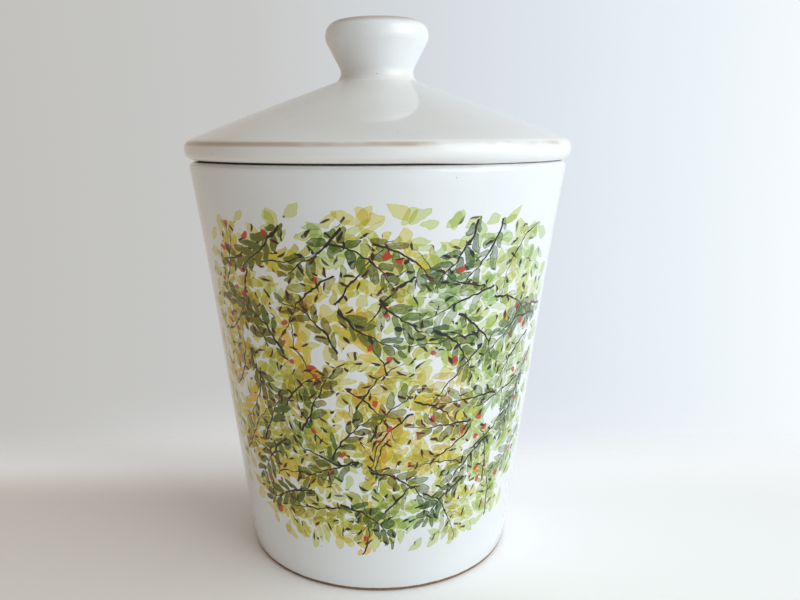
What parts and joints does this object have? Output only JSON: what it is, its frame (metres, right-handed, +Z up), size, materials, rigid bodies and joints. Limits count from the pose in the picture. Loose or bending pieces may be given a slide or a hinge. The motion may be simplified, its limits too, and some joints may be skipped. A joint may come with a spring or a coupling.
{
  "type": "olive jar",
  "caption": "Tapered glazed ceramic olive jar with a conical lift-off lid, a flared hollow knob and a locating ring that drops into the mouth.",
  "frame": {"origin": "centre of the plane that the jar's foot ring stands on", "axes": "+Z up along the axis of the jar and the lid; the painted front faces -Y"},
  "size_m": [0.1222, 0.122, 0.1713],
  "materials": {
    "jar_glaze": "glossy white glaze",
    "lid_glaze": "glossy warm white glaze"
  },
  "bodies": {
    "jar": {"jar": "jar_glaze"},
    "lid": {"lid": "lid_glaze"}
  },
  "joints": [
    {"name": "lid_lift", "type": "slide", "parent": "jar", "child": "lid", "axis": [0, 0, 1], "range_m": [0, 0.1]}
  ]
}
